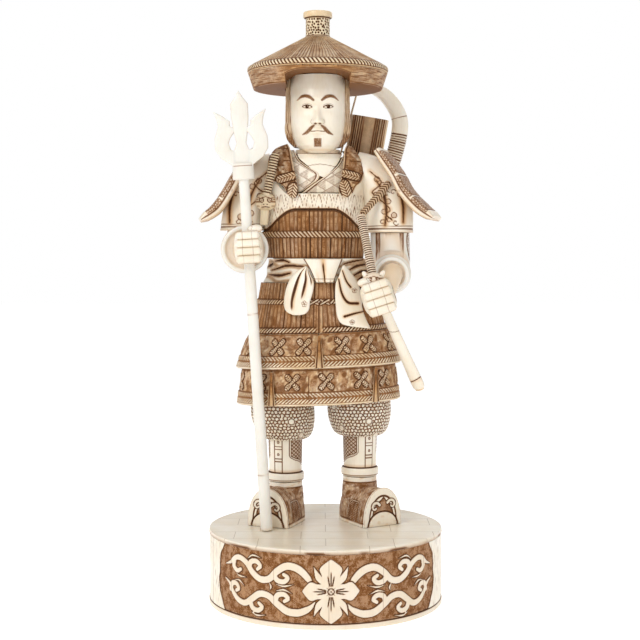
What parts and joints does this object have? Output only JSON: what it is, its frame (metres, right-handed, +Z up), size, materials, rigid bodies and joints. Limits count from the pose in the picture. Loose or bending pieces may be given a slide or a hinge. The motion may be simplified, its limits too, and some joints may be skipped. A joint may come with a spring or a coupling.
{
  "type": "carved figure",
  "caption": "Carved bone figure of an armoured warrior in a wide conical hat, holding a trident and a sword, on a round drum base with a carved scroll and flower panel.",
  "frame": {"origin": "centre of the flat underside of the drum base", "axes": "+Z up through the drum's axis; the figure looks along -Y; +X is the figure's own left side"},
  "size_m": [0.177, 0.1668, 0.42],
  "materials": {
    "ivory_bone": null,
    "white_bone": "polished whiter bone, unstained",
    "amber_bone": "pale bone with amber stain left in its recesses",
    "stained_bone": "bone carved, stained mottled brown and wiped back on its high points",
    "dark_stained_bone": "bone with fine carved strands, stained dark brown",
    "wooden_core": "plain hidden timber"
  },
  "bodies": {
    "figure": {"base_core": "wooden_core", "base_bottom_rim": "ivory_bone", "base_top": "ivory_bone", "base_panel_front": "stained_bone", "base_end_left": "ivory_bone", "base_panel_back": "ivory_bone", "base_end_right": "ivory_bone", "boot_right": "stained_bone", "shin_right": "ivory_bone", "thigh_right": "stained_bone", "boot_left": "stained_bone", "shin_left": "ivory_bone", "thigh_left": "stained_bone", "body_core": "wooden_core", "skirt_upper_front": "stained_bone", "skirt_upper_back": "stained_bone", "skirt_tier1_front_right": "stained_bone", "skirt_tier1_front_left": "stained_bone", "skirt_tier1_back": "stained_bone", "skirt_tier2_front": "stained_bone", "skirt_tier2_side_left": "stained_bone", "skirt_tier2_back": "stained_bone", "skirt_tier2_side_right": "stained_bone", "skirt_divider_center": "amber_bone", "skirt_divider_right": "amber_bone", "skirt_divider_left": "amber_bone", "chest_plate": "ivory_bone", "slat_band": "stained_bone", "back_plate": "stained_bone", "sash_wrap": "ivory_bone", "sash_knot": "ivory_bone", "sash_tail_right": "ivory_bone", "sash_tail_left": "ivory_bone", "neck": "ivory_bone", "collar_left": "ivory_bone", "collar_right": "ivory_bone", "sleeve_right": "ivory_bone", "sleeve_left": "ivory_bone", "forearm_right": "ivory_bone", "forearm_left": "ivory_bone", "hand_right": "ivory_bone", "hand_left": "ivory_bone", "sword_hilt": "ivory_bone", "sword_scabbard": "ivory_bone", "short_sword": "amber_bone", "shoulder_guard_right": "stained_bone", "shoulder_strap_right": "stained_bone", "shoulder_guard_left": "stained_bone", "shoulder_strap_left": "stained_bone", "arm_cord": "stained_bone", "quiver": "stained_bone", "bow": "ivory_bone", "bow_string": "amber_bone"},
    "head": {"face": "ivory_bone", "hair": "dark_stained_bone", "hat_body": "stained_bone", "hat_cone": "stained_bone", "hat_finial": "ivory_bone"},
    "trident": {"trident_shaft": "white_bone", "trident_head": "white_bone"}
  },
  "joints": [
    {"name": "head_turn", "type": "hinge", "parent": "figure", "child": "head", "pos_m": [-0.0055, 0.01, 0.322], "axis": [0, 0, 1], "range_deg": [-20, 20]},
    {"name": "trident_lift", "type": "slide", "parent": "figure", "child": "trident", "axis": [-0.0611, -0.0299, 0.9977], "range_m": [0, 0.2]}
  ]
}
